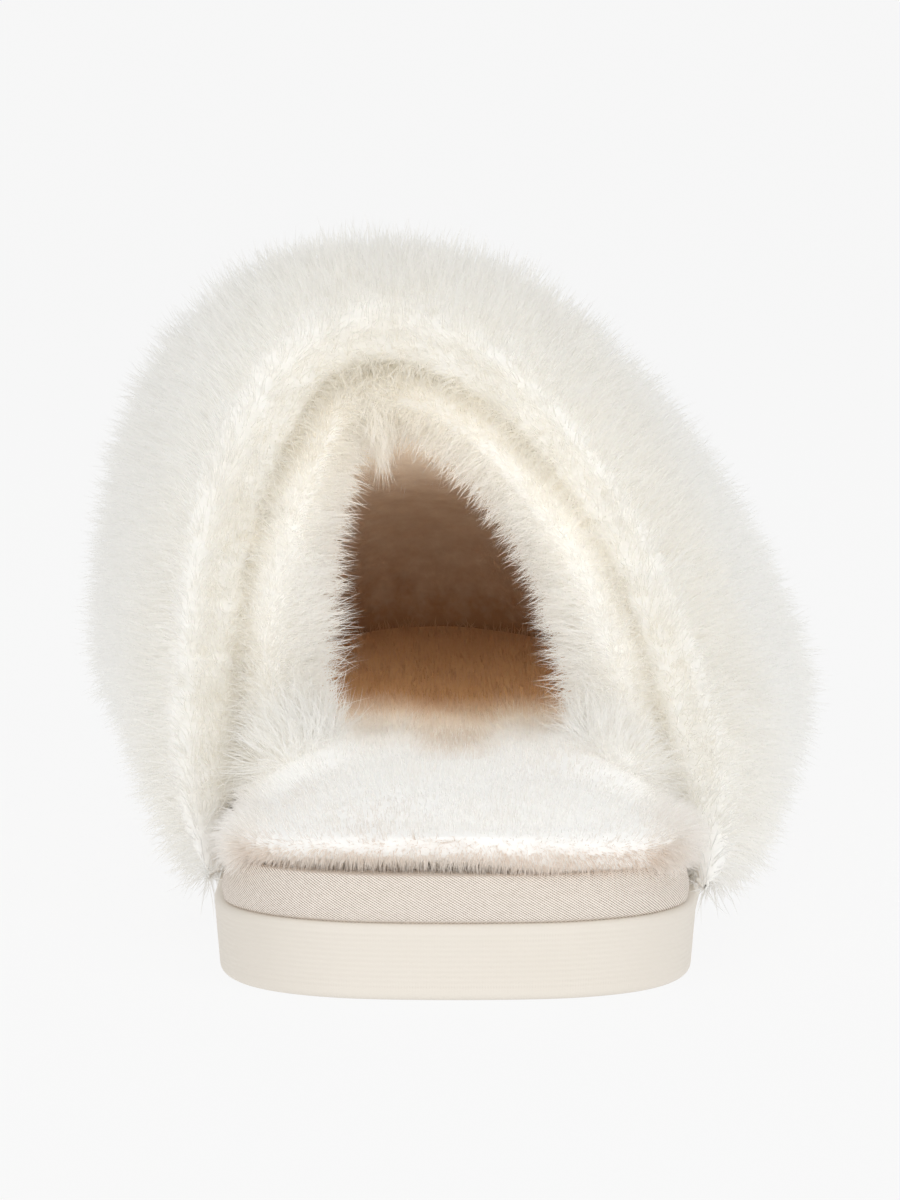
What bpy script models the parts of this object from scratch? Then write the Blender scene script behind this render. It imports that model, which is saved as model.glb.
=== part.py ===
"""A fluffy backless house slipper for the right foot, standing on its sole.

Metres. +Y runs from heel to toe, +X to the outer side of the foot, +Z up. The origin is on the floor,
under the middle of the sole. Every piece is worked out from the sole's outline and the upper's sections.
"""

import math
from collections import namedtuple

import bmesh
import bpy
from mathutils import Vector

# Driving sizes
SOLE_LENGTH = 0.258
HEEL_RADIUS = 0.0370
HEEL_SQUARENESS = 2.7
TOE_RADIUS = 0.060
TOE_SQUARENESS = 2.25
TOE_BLUFFNESS = 3.2
TOE_SPRING = 0.007
TOE_SPRING_FROM = 0.70
OUTSOLE_THICKNESS = 0.012
MIDSOLE_THICKNESS = 0.007
WALL = 0.0025
GAP = 0.0003
FEATHER = OUTSOLE_THICKNESS + GAP
FOOTBED = FEATHER + MIDSOLE_THICKNESS + GAP
MERGE_DISTANCE = 1e-6
SHARP_ANGLE = math.radians(50)

# The sole's outline: share of the length, the centre line's x and the half width before the ends are rounded
SoleRow = namedtuple("SoleRow", "along centre half_width")
SOLE_ROWS = (
    SoleRow(0.00, 0.0002, 0.0385),
    SoleRow(0.18, 0.0002, 0.0385),
    SoleRow(0.32, 0.0018, 0.0397),
    SoleRow(0.45, 0.0036, 0.0410),
    SoleRow(0.58, 0.0038, 0.0450),
    SoleRow(0.70, 0.0020, 0.0488),
    SoleRow(0.80, 0.0006, 0.0486),
    SoleRow(0.90, -0.0014, 0.0448),
    SoleRow(1.00, -0.0044, 0.0390),
)

# The outsole's side: its wall leans out towards the top and carries fine ribs
SIDE_LEAN = 0.0008
SIDE_EDGE = 0.0008
RIB_COUNT = 12
RIB_DEPTH = 0.0002
OUTSOLE_STATIONS = 26

# Both upper layers of the sole come nearly to the outsole's edge round the heel. They narrow between these
# shares of the length, to leave room for the upper's wall
HEEL_PART_TO = 0.07
WALL_PART_FROM = 0.13
TOE_PART_FROM = 0.75
TOE_PART_TO = 0.95

# The midsole's wrapped side
MIDSOLE_HEEL_INSET = 0.0008
MIDSOLE_INSET = 0.0030
MIDSOLE_STATIONS = 28
CoverRow = namedtuple("CoverRow", "height inset")
COVER_ROWS = (
    CoverRow(0.0000, 0.0006),
    CoverRow(0.0014, 0.0001),
    CoverRow(0.0048, 0.0000),
    CoverRow(0.0064, 0.0007),
    CoverRow(0.0070, 0.0020),
)

# The footbed's pile: share of the length and the height of its crown above the midsole
INSOLE_INSET = 0.0040
INSOLE_HEEL_INSET = 0.0002
INSOLE_TOE_INSET = 0.0080
INSOLE_RIM = 0.0040
INSOLE_STATIONS = 22
INSOLE_COLUMNS = 8
INSOLE_FULLNESS = 3.2
INSOLE_LOCKS_TO = 0.14
INSOLE_LOCKS_WIDE = 0.42
CrownRow = namedtuple("CrownRow", "along crown")
CROWN_ROWS = (
    CrownRow(0.00, 0.0060),
    CrownRow(0.08, 0.0115),
    CrownRow(0.20, 0.0135),
    CrownRow(0.32, 0.0115),
    CrownRow(0.60, 0.0072),
    CrownRow(1.00, 0.0050),
)

# The upper's sections: share of the length, the ridge's height above the feather line and its x, how far the
# wall swells out above the feather line on each side, and how square each shoulder is
SectionRow = namedtuple("SectionRow", "along ridge ridge_x inner_swell outer_swell inner_square outer_square")
SECTION_ROWS = (
    SectionRow(0.00, 0.074, -0.004, 0.000, 0.000, 2.8, 1.75),
    SectionRow(0.20, 0.077, -0.007, 0.001, 0.001, 2.8, 1.75),
    SectionRow(0.46, 0.082, -0.012, 0.005, 0.001, 3.0, 1.75),
    SectionRow(0.54, 0.085, -0.013, 0.007, 0.001, 3.4, 1.90),
    SectionRow(0.64, 0.074, -0.011, 0.006, 0.002, 3.1, 2.00),
    SectionRow(0.80, 0.053, -0.006, 0.003, 0.003, 2.6, 2.10),
    SectionRow(1.00, 0.038, -0.004, 0.001, 0.001, 2.3, 2.20),
)
COLLAR_TOP = 0.46
COLLAR_INNER = 0.20
COLLAR_OUTER = 0.155
UPPER_INSET = 0.0002
UPPER_STATIONS = 20
UPPER_COLUMNS = 26
SWELL_HEIGHT = 0.87

# The upper's pile: turn round the foot, its depth there, and how far its skirt hangs below the feather line.
# The pile is shallow at the collar seam, and its skirt starts a little in front of it
PileRow = namedtuple("PileRow", "around depth")
PILE_ROWS = (
    PileRow(-0.08, 0.0020),
    PileRow(0.00, 0.0062),
    PileRow(0.04, 0.0150),
    PileRow(0.08, 0.0178),
    PileRow(0.14, 0.0162),
    PileRow(0.24, 0.0182),
    PileRow(0.32, 0.0180),
    PileRow(0.40, 0.0164),
    PileRow(0.50, 0.0174),
    PileRow(0.62, 0.0168),
    PileRow(0.72, 0.0142),
    PileRow(0.88, 0.0134),
    PileRow(0.93, 0.0152),
    PileRow(0.97, 0.0140),
    PileRow(1.00, 0.0098),
    PileRow(1.08, 0.0024),
)
PILE_AT_SEAM = 0.68
PILE_FULL_AFTER = 0.11
SKIRT_COLUMNS = 2
SKIRT_DROP = 0.0060
SKIRT_AT_SEAM = 0.0010
SKIRT_ON_SOLE = 0.0001
SKIRT_FLARE = 0.0006
SKIRT_CLEARANCE = GAP
SKIRT_END = 0.5 + (SKIRT_COLUMNS - 0.5) / UPPER_COLUMNS
LOCK_FLOW = Vector((0, -0.6, -0.4))
CUFF_LOCK_FLOW = Vector((0, -0.7, 0))
NO_FLOW = Vector((0, 0, 0))
LOCK_LENGTH = 0.0042
LOCK_LEAN = 0.0034
LOCK_SHORTEST = 0.55
GOLDEN_SHARE = 0.618034

# The pile rolls back over the collar edge. Its section there, from the valley out, in distances behind the
# collar edge and outward from the wall: the pile's surface first, then its underside
RollRow = namedtuple("RollRow", "behind outward under_behind under_outward")
ROLL_ROWS = (
    RollRow(0.0048, -0.0046, 0.0024, -0.0032),
    RollRow(0.0092, -0.0016, 0.0018, -0.0020),
    RollRow(0.0102, 0.0034, 0.0012, -0.0008),
    RollRow(0.0086, 0.0082, 0.0006, 0.0003),
)
ROLL_BACK = 0.0048
ROLL_DEPTH = 0.0170
ROLL_LOW = 0.02
ROLL_FULL = 0.12
ROLL_LOW_SHARE = 0.55

# The cuff's section, in the same coordinates
CuffRow = namedtuple("CuffRow", "behind outward lock")
CUFF_ROWS = (
    CuffRow(0.0010, -0.0042, 0),
    CuffRow(0.0050, -0.0060, 0),
    CuffRow(0.0096, -0.0080, 1),
    CuffRow(0.0112, -0.0120, 1),
    CuffRow(0.0080, -0.0160, 1),
    CuffRow(0.0000, -0.0180, 1),
    CuffRow(-0.0100, -0.0165, 1),
    CuffRow(-0.0190, -0.0115, 1),
    CuffRow(-0.0240, -0.0036, 0),
    CuffRow(-0.0120, -0.0033, 0),
    CuffRow(0.0004, -0.0033, 0),
)
CUFF_BASE = -0.0033
CUFF_TOP_SHARE = 0.84
CUFF_STATIONS = 30
CUFF_FROM = 0.04
CUFF_TO = 0.96
CUFF_CLEARANCE = 0.0010


def between(rows, column, at):
    """The column's value at this share of the length, on a smooth curve through the rows."""
    xs = [row[0] for row in rows]
    ys = [getattr(row, column) for row in rows]
    at = min(max(at, xs[0]), xs[-1])
    i = max(k for k in range(len(xs) - 1) if xs[k] <= at)
    step = xs[i + 1] - xs[i]

    def slope(k):
        low, high = max(k - 1, 0), min(k + 1, len(xs) - 1)
        return (ys[high] - ys[low]) / (xs[high] - xs[low])

    t = (at - xs[i]) / step
    rise = t * t * (3 - 2 * t)
    bend = slope(i) * t * (1 - t) ** 2 - slope(i + 1) * t * t * (1 - t)
    return ys[i] + (ys[i + 1] - ys[i]) * rise + step * bend


def ease(low, high, at):
    """0 before low, 1 after high, and a smooth step between them."""
    t = min(max((at - low) / (high - low), 0), 1)
    return t * t * (3 - 2 * t)


def rounded_end(past, radius, squareness):
    """Share of the full width that is left this far past the start of an end of that radius."""
    share = min(max(past / radius, 0), 1)
    return (1 - share**squareness) ** (1 / squareness)


def ends(distance, out):
    """How much of the width the heel's and the toe's rounding leave, this far from the heel's back."""
    heel = rounded_end(HEEL_RADIUS - distance, HEEL_RADIUS + out, HEEL_SQUARENESS)
    toe = rounded_end(distance - (SOLE_LENGTH - TOE_RADIUS), TOE_RADIUS + out, TOE_SQUARENESS)
    return heel * toe


def lift(distance):
    """The toe spring: how far the sole has risen off the floor."""
    share = distance / SOLE_LENGTH
    return TOE_SPRING * max(0, (share - TOE_SPRING_FROM) / (1 - TOE_SPRING_FROM)) ** 2


def even_round(share):
    """Spreads stations closer together towards both ends."""
    return (1 - math.cos(math.pi * share)) / 2


def sole_point(share, across, out, height):
    """A point on the sole's outline grown by out: share runs from heel to toe, across from -1, inner, to 1."""
    distance = -out + share * (SOLE_LENGTH + 2 * out)
    along = distance / SOLE_LENGTH
    half = (between(SOLE_ROWS, "half_width", along) + out) * ends(distance, out)
    x = between(SOLE_ROWS, "centre", along) + across * half
    return Vector((x, distance - SOLE_LENGTH / 2, height + lift(distance)))


def insole_out(along):
    """The footbed overhangs the midsole round the heel, and lies inside the wall in front of it."""
    narrowing = (INSOLE_INSET - INSOLE_HEEL_INSET) * ease(HEEL_PART_TO, WALL_PART_FROM, along)
    toe_room = (INSOLE_TOE_INSET - INSOLE_INSET) * ease(TOE_PART_FROM, TOE_PART_TO, along)
    return -INSOLE_HEEL_INSET - narrowing - toe_room


def midsole_out(along):
    """The midsole's widest part, from the outsole's edge."""
    narrowing = (MIDSOLE_INSET - MIDSOLE_HEEL_INSET) * ease(HEEL_PART_TO, WALL_PART_FROM, along)
    return -MIDSOLE_HEEL_INSET - narrowing


def outsole_out(along):
    return 0


def insole_height(across, along):
    """Height of the footbed's pile above the floor, before its locks and the toe spring."""
    crown = between(CROWN_ROWS, "crown", along)
    return FOOTBED + INSOLE_RIM + (crown - INSOLE_RIM) * (1 - min(abs(across), 1) ** INSOLE_FULLNESS)


def footbed_under(point):
    """Height of the footbed's pile under a point of the cuff."""
    distance = point.y + SOLE_LENGTH / 2
    along = distance / SOLE_LENGTH
    out = insole_out(along)
    half = (between(SOLE_ROWS, "half_width", along) + out) * ends(distance, out)
    across = (point.x - between(SOLE_ROWS, "centre", along)) / half
    return insole_height(across, along) + lift(distance)


def upper_point(distance, around, out):
    """A point of the upper's surface grown by out: around runs from 0, the inner feather line, over the
    ridge to 1, the outer feather line."""
    along = distance / SOLE_LENGTH
    inner = around < 0.5
    turn = math.pi * (around if inner else 1 - around)
    side = -1 if inner else 1
    square = between(SECTION_ROWS, "inner_square" if inner else "outer_square", along)
    swell = between(SECTION_ROWS, "inner_swell" if inner else "outer_swell", along)
    narrowing = ends(distance, out)
    centre = between(SOLE_ROWS, "centre", along)
    ridge_x = centre + (between(SECTION_ROWS, "ridge_x", along) - centre) * narrowing
    half = (between(SOLE_ROWS, "half_width", along) + out) * narrowing
    reach = centre + side * half - ridge_x
    up = min(max(math.sin(turn), 0), 1)
    wide = (1 - up**square) ** (1 / square)
    bulge = side * swell * math.sin(math.pi * min(up / SWELL_HEIGHT, 1)) * narrowing
    x = ridge_x + reach * wide + bulge
    toe = rounded_end(distance - (SOLE_LENGTH - TOE_RADIUS), TOE_RADIUS + out, TOE_BLUFFNESS)
    z = FEATHER + (between(SECTION_ROWS, "ridge", along) + out) * toe * up
    return Vector((x, distance - SOLE_LENGTH / 2, z + lift(distance)))


def collar(around):
    """Distance from the heel's back to the collar edge, at this turn round the foot."""
    end = COLLAR_INNER if around < 0.5 else COLLAR_OUTER
    return SOLE_LENGTH * (end + (COLLAR_TOP - end) * math.sin(math.pi * around))


def upper_grid_point(share, around, out):
    """As upper_point, with share running from the collar edge to the toe."""
    start = collar(around)
    distance = start + (SOLE_LENGTH + out - start) * math.sin(math.pi / 2 * share)
    return upper_point(distance, around, out)


def finished(name, bm, material):
    """Turns the bmesh into a named object of that material."""
    bmesh.ops.remove_doubles(bm, verts=bm.verts, dist=MERGE_DISTANCE)
    bmesh.ops.recalc_face_normals(bm, faces=bm.faces)
    mesh = bpy.data.meshes.new(name)
    bm.to_mesh(mesh)
    bm.free()
    mesh.shade_smooth()
    mesh.set_sharp_from_angle(angle=SHARP_ANGLE)
    mesh.materials.append(material)
    part = bpy.data.objects.new(name, mesh)
    bpy.context.scene.collection.objects.link(part)
    return part


def sheet(bm, columns, rows):
    """A flat grid whose corners carry their shares, 0 to 1 each way, and the layers that hold them."""
    bmesh.ops.create_grid(bm, x_segments=columns, y_segments=rows, size=0.5)
    first = bm.verts.layers.float.new("first")
    second = bm.verts.layers.float.new("second")
    for vert in bm.verts:
        vert[first] = vert.co.x + 0.5
        vert[second] = vert.co.y + 0.5
    return first, second


def grown(bm, faces):
    """Extrudes these faces where they stand, and gives the new ones."""
    edges = list({edge for face in faces for edge in face.edges})
    made = bmesh.ops.extrude_face_region(bm, geom=faces + edges)["geom"]
    return [item for item in made if isinstance(item, bmesh.types.BMFace)]


def corners(faces):
    return {vert for face in faces for vert in face.verts}


def stacked(name, material, stations, edge, levels):
    """A solid whose outline lies at that edge round the sole, through levels of (height, out)."""
    bm = bmesh.new()
    first, second = sheet(bm, stations, 1)
    faces = list(bm.faces)
    for number, (height, out) in enumerate(levels):
        if number:
            faces = grown(bm, faces)
        for vert in corners(faces):
            share = even_round(vert[first])
            vert.co = sole_point(share, 2 * vert[second] - 1, edge(share) + out, height)
        if not number:
            bmesh.ops.remove_doubles(bm, verts=bm.verts, dist=MERGE_DISTANCE)
            faces = list(bm.faces)
    return finished(name, bm, material)


def outsole_levels():
    """The outsole's side from the floor up: its rounded foot, its ribs and its rounded top edge."""
    levels = [(0, -SIDE_LEAN - SIDE_EDGE)]
    ribbed = OUTSOLE_THICKNESS - 2 * SIDE_EDGE
    for half_rib in range(2 * RIB_COUNT + 1):
        share = half_rib / (2 * RIB_COUNT)
        groove = RIB_DEPTH * (1 - half_rib % 2)
        levels.append((SIDE_EDGE + ribbed * share, -SIDE_LEAN * (1 - share) - groove))
    levels.append((OUTSOLE_THICKNESS, -SIDE_EDGE))
    return levels


def midsole_levels():
    return [(FEATHER + row.height, -row.inset) for row in COVER_ROWS]


def add_locks(bm, faces, flow):
    """Raises each face to a leaning point, so that the surface is covered in locks of fur."""
    for number, face in enumerate(faces):
        normal = face.normal.copy()
        centre = face.calc_center_median()
        size = LOCK_SHORTEST + (1 - LOCK_SHORTEST) * (number * GOLDEN_SHARE % 1)
        tip = bmesh.ops.poke(bm, faces=[face])["verts"][0]
        tip.co = centre + size * (normal * LOCK_LENGTH + flow * LOCK_LEAN)


def build_insole(material):
    """The footbed: a flat sock with a crowned pile and locks on it."""
    bm = bmesh.new()
    first, second = sheet(bm, INSOLE_STATIONS, INSOLE_COLUMNS)

    def place(vert, top):
        share = even_round(vert[first])
        across = 2 * vert[second] - 1
        height = insole_height(across, share) if top else FOOTBED
        vert.co = sole_point(share, across, insole_out(share), height)

    for vert in bm.verts:
        place(vert, False)
    bmesh.ops.remove_doubles(bm, verts=bm.verts, dist=MERGE_DISTANCE)
    pile = grown(bm, list(bm.faces))
    for vert in corners(pile):
        place(vert, True)
    bmesh.ops.recalc_face_normals(bm, faces=bm.faces)
    heel_part = INSOLE_LOCKS_TO * SOLE_LENGTH - SOLE_LENGTH / 2
    middle = INSOLE_LOCKS_WIDE * HEEL_RADIUS
    collar_top = COLLAR_TOP * SOLE_LENGTH - SOLE_LENGTH / 2
    shown = []
    for face in pile:
        centre = face.calc_center_median()
        if centre.y < heel_part or (abs(centre.x) < middle and centre.y < collar_top):
            shown.append(face)
    add_locks(bm, shown, NO_FLOW)
    return finished("insole", bm, material)


def build_upper(material):
    """The vamp: a wall from the collar edge to the toe, open at the collar and underneath."""
    bm = bmesh.new()
    first, second = sheet(bm, UPPER_STATIONS, UPPER_COLUMNS)
    for vert in bm.verts:
        vert.co = upper_grid_point(vert[first], vert[second], -UPPER_INSET)
    bmesh.ops.remove_doubles(bm, verts=bm.verts, dist=MERGE_DISTANCE)
    lining = grown(bm, list(bm.faces))
    for vert in corners(lining):
        vert.co = upper_grid_point(vert[first], vert[second], -UPPER_INSET - WALL)
    return finished("upper", bm, material)


def roll(around):
    """How far the pile rolls in over the collar edge: clear of the sole at the feather line, fully above it."""
    return ROLL_LOW_SHARE + (1 - ROLL_LOW_SHARE) * ease(ROLL_LOW, ROLL_FULL, min(around, 1 - around))


def fur_point(station, around, surface):
    """A point of the pile's surface or of its underside. Stations count from the valley to the toe, the
    first ones round the roll, and turns below 0 and above 1 run down over the sole's side."""
    on_upper = min(max(around, 0), 1)
    beyond = max(-around, around - 1, 0) * UPPER_COLUMNS / SKIRT_COLUMNS
    share = max(station - len(ROLL_ROWS), 0) / UPPER_STATIONS
    full = ease(0, PILE_FULL_AFTER, share)
    start = collar(on_upper)
    distance = start + (SOLE_LENGTH - start) * math.sin(math.pi / 2 * share)
    if station < len(ROLL_ROWS):
        row = ROLL_ROWS[int(station)]
        behind, out = row[:2] if surface else row[2:]
        distance -= behind
        if out < 0:
            out = SKIRT_CLEARANCE + (out - SKIRT_CLEARANCE) * roll(on_upper)
        elif surface:
            out *= between(PILE_ROWS, "depth", around) / ROLL_DEPTH
    elif surface:
        distance -= ROLL_BACK * (1 - full)
        out = between(PILE_ROWS, "depth", around) * (PILE_AT_SEAM + (1 - PILE_AT_SEAM) * full)
    else:
        out = SKIRT_CLEARANCE
    drop = SKIRT_AT_SEAM + (SKIRT_DROP - SKIRT_AT_SEAM) * full if out > 0 else SKIRT_ON_SOLE
    out += beyond * SKIRT_FLARE
    point = upper_point(distance + out * math.sin(math.pi / 2 * share), on_upper, out)
    point.z -= beyond * drop
    return point


def build_upper_fur(material):
    """The pile on the outside of the upper, with its locks lying back and down."""
    bm = bmesh.new()
    stations = UPPER_STATIONS + len(ROLL_ROWS)
    first, second = sheet(bm, stations, UPPER_COLUMNS + 2 * SKIRT_COLUMNS)
    for vert in bm.verts:
        vert[first] = round(vert[first] * stations)
        vert[second] += (vert[second] - 0.5) * 2 * SKIRT_COLUMNS / UPPER_COLUMNS
        vert.co = fur_point(vert[first], vert[second], False)
    bmesh.ops.remove_doubles(bm, verts=bm.verts, dist=MERGE_DISTANCE)
    pile = grown(bm, list(bm.faces))
    for vert in corners(pile):
        vert.co = fur_point(vert[first], vert[second], True)
    bmesh.ops.recalc_face_normals(bm, faces=bm.faces)
    free = []
    for face in pile:
        lowest = max(abs(vert[second] - 0.5) for vert in face.verts)
        station = min(vert[first] for vert in face.verts)
        clear_of_sole = station >= len(ROLL_ROWS) or roll(0.5 - lowest) == 1
        if lowest < SKIRT_END and station > 0 and clear_of_sole:
            free.append(face)
    add_locks(bm, free, LOCK_FLOW)
    return finished("upper_fur", bm, material)


def build_cuff(material):
    """The fur band that turns in over the collar edge and presses on the footbed at both ends."""
    bm = bmesh.new()
    first, second = sheet(bm, CUFF_STATIONS, len(CUFF_ROWS))
    locks = bm.faces.layers.int.new("lock")
    for face in bm.faces:
        row = round((sum(vert[second] for vert in face.verts) / 4) * len(CUFF_ROWS) - 0.5)
        face[locks] = CUFF_ROWS[row].lock and CUFF_ROWS[(row + 1) % len(CUFF_ROWS)].lock
    for vert in bm.verts:
        row = CUFF_ROWS[round(vert[second] * len(CUFF_ROWS)) % len(CUFF_ROWS)]
        around = CUFF_FROM + (CUFF_TO - CUFF_FROM) * vert[first]
        thinning = 1 - (1 - CUFF_TOP_SHARE) * math.sin(math.pi * around)
        outward = CUFF_BASE + (row.outward - CUFF_BASE) * thinning
        point = upper_point(collar(around) - row.behind, around, outward - UPPER_INSET)
        point.z = max(point.z, footbed_under(point) + CUFF_CLEARANCE)
        vert.co = point
    bmesh.ops.remove_doubles(bm, verts=bm.verts, dist=MERGE_DISTANCE)
    open_edges = [edge for edge in bm.edges if edge.is_boundary]
    bmesh.ops.holes_fill(bm, edges=open_edges, sides=0)
    bmesh.ops.recalc_face_normals(bm, faces=bm.faces)
    free = []
    for face in bm.faces:
        centre = face.calc_center_median()
        if face[locks] and centre.z > footbed_under(centre) + 2 * LOCK_LENGTH:
            free.append(face)
    add_locks(bm, free, CUFF_LOCK_FLOW)
    return finished("cuff_fur", bm, material)


def paint(name, colour, roughness):
    """A material of one colour."""
    material = bpy.data.materials.new(name)
    material.use_nodes = True
    shader = material.node_tree.nodes["Principled BSDF"]
    shader.inputs["Base Color"].default_value = (*colour, 1)
    shader.inputs["Roughness"].default_value = roughness
    shader.inputs["Metallic"].default_value = 0
    return material


def main():
    for old in list(bpy.data.objects):
        bpy.data.objects.remove(old, do_unlink=True)
    foam = paint("cream_foam", (0.82, 0.76, 0.66), 0.6)
    twill = paint("beige_twill", (0.70, 0.62, 0.54), 0.9)
    footbed = paint("white_plush", (0.84, 0.82, 0.77), 0.95)
    backing = paint("tan_lining", (0.62, 0.47, 0.33), 0.95)
    fur = paint("cream_fur", (0.84, 0.79, 0.70), 0.95)
    stacked("outsole", foam, OUTSOLE_STATIONS, outsole_out, outsole_levels())
    stacked("midsole", twill, MIDSOLE_STATIONS, midsole_out, midsole_levels())
    build_insole(footbed)
    build_upper(backing)
    build_upper_fur(fur)
    build_cuff(fur)


main()
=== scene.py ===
"""A fluffy house slipper for the right foot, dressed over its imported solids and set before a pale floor."""

import math

import bmesh
import bpy
import numpy as np
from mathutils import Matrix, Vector, kdtree
from mathutils.bvhtree import BVHTree


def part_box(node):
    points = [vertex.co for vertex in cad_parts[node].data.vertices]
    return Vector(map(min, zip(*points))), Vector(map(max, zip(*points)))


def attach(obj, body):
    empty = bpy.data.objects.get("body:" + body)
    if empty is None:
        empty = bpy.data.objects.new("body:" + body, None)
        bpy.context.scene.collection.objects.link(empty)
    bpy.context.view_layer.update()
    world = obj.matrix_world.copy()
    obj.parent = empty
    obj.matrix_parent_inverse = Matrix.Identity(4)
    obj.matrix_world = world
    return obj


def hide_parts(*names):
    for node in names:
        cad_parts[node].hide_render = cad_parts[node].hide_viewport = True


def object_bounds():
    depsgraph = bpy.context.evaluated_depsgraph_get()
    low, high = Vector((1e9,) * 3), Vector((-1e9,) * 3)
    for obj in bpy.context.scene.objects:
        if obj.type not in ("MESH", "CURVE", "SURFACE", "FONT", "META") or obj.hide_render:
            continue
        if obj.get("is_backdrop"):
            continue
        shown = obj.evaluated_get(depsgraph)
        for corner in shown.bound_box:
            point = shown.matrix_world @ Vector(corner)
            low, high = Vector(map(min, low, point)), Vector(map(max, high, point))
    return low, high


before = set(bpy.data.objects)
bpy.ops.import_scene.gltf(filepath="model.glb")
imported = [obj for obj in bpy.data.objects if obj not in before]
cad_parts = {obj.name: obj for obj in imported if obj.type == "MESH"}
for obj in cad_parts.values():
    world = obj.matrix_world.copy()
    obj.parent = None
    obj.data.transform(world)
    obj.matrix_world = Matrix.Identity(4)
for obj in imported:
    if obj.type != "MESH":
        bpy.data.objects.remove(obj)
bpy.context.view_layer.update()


# Outsole: one moulding of cream foam. Its side stands nearly upright, with a rounded foot, and carries fine
# horizontal ribs crossed by a knurl as fine as a thread. The midsole is glued on top, inside its edge.

SOLE_SEGMENTS = 360
CURVE_STEPS = 12
OUTSOLE_TOP = 0.012
OUTSOLE_WIDEST = 0.0112
OUTSOLE_RIBS = 12
RIB_STEPS = 4
RIB_DEPTH = 0.00010
SIDE_LEAN = 0.0008
EDGE_ROUND = 0.0012
EDGE_STEPS = 5
TOE_SPRING = 0.007
TOE_SPRING_FROM = 0.70
KNURL_PITCH = 0.00043
SOLE_LAP = 0.02
FOAM_LIGHT = (0.775, 0.723, 0.653)
FOAM_DEEP = (0.735, 0.683, 0.605)

outsole_low, outsole_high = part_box("outsole")
sole_length = outsole_high.y - outsole_low.y


def toe_lift(y):
    """How far the sole has risen off the floor at this y."""
    share = (y - outsole_low.y) / sole_length
    return TOE_SPRING * np.clip((share - TOE_SPRING_FROM) / (1 - TOE_SPRING_FROM), 0, None) ** 2


def level_outline(node, height):
    """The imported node's outline at this height above its toe spring, as a smooth closed curve."""
    corners = np.array([vert.co[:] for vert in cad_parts[node].data.vertices])
    level = np.abs(corners[:, 2] - toe_lift(corners[:, 1]) - height) < 1e-4
    ring = np.unique(np.round(corners[level, :2], 6), axis=0)
    ring = ring[np.append(True, np.linalg.norm(np.diff(ring, axis=0), axis=1) > 1e-5)]
    middle = (ring.max(0) + ring.min(0)) / 2
    ring = ring[np.argsort(np.arctan2(ring[:, 1] - middle[1], ring[:, 0] - middle[0]))]
    return even_loop(ring, SOLE_SEGMENTS)


def even_loop(points, count):
    """A smooth closed curve through the points, read at even steps of its length."""
    dense = []
    for k in range(len(points)):
        a, b, c, d = (points[(k + i) % len(points)] for i in (-1, 0, 1, 2))
        for t in np.linspace(0, 1, CURVE_STEPS, endpoint=False):
            bend = 2 * b + (c - a) * t + (2 * a - 5 * b + 4 * c - d) * t**2 + (3 * b - a - 3 * c + d) * t**3
            dense.append(bend / 2)
    dense = np.array(dense + dense[:1])
    steps = np.concatenate([[0], np.cumsum(np.linalg.norm(np.diff(dense, axis=0), axis=1))])
    reads = np.linspace(0, steps[-1], count, endpoint=False)
    return np.stack([np.interp(reads, steps, dense[:, i]) for i in (0, 1)], axis=1)


def banded_solid(name, loop, levels):
    """A closed solid through levels of (height, out) round the loop, with a map of its side in metres."""
    along = np.roll(loop, -1, axis=0) - np.roll(loop, 1, axis=0)
    out_way = np.stack([along[:, 1], -along[:, 0]], axis=1)
    out_way /= np.linalg.norm(out_way, axis=1)[:, None]
    run = np.concatenate([[0], np.cumsum(np.linalg.norm(np.roll(loop, -1, axis=0) - loop, axis=1))])
    climb = np.concatenate([[0], np.cumsum(np.linalg.norm(np.diff(np.array(levels), axis=0), axis=1))])
    columns, rows = len(loop), len(levels) - 1
    bm = bmesh.new()
    bmesh.ops.create_grid(bm, x_segments=columns, y_segments=rows, size=0.5)
    side_map = bm.loops.layers.uv.new("side")
    for face in bm.faces:
        for corner in face.loops:
            column = round((corner.vert.co.x + 0.5) * columns)
            row = round((corner.vert.co.y + 0.5) * rows)
            corner[side_map].uv = (run[column], climb[row])
    for vert in bm.verts:
        column = round((vert.co.x + 0.5) * columns) % columns
        height, out = levels[round((vert.co.y + 0.5) * rows)]
        x, y = loop[column] + out_way[column] * out
        vert.co = (x, y, height + toe_lift(loop[column, 1]))
    bmesh.ops.remove_doubles(bm, verts=bm.verts, dist=1e-6)
    bmesh.ops.holes_fill(bm, edges=[edge for edge in bm.edges if edge.is_boundary], sides=0)
    bmesh.ops.recalc_face_normals(bm, faces=bm.faces)
    return as_piece(name, bm)


def as_piece(name, bm):
    """Makes the bmesh a smooth-shaded piece that rides on the slipper's one body."""
    mesh = bpy.data.meshes.new(name)
    bm.to_mesh(mesh)
    bm.free()
    mesh.shade_smooth()
    mesh.set_sharp_from_angle(angle=math.radians(60))
    piece = bpy.data.objects.new(name, mesh)
    bpy.context.scene.collection.objects.link(piece)
    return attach(piece, "root")


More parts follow.
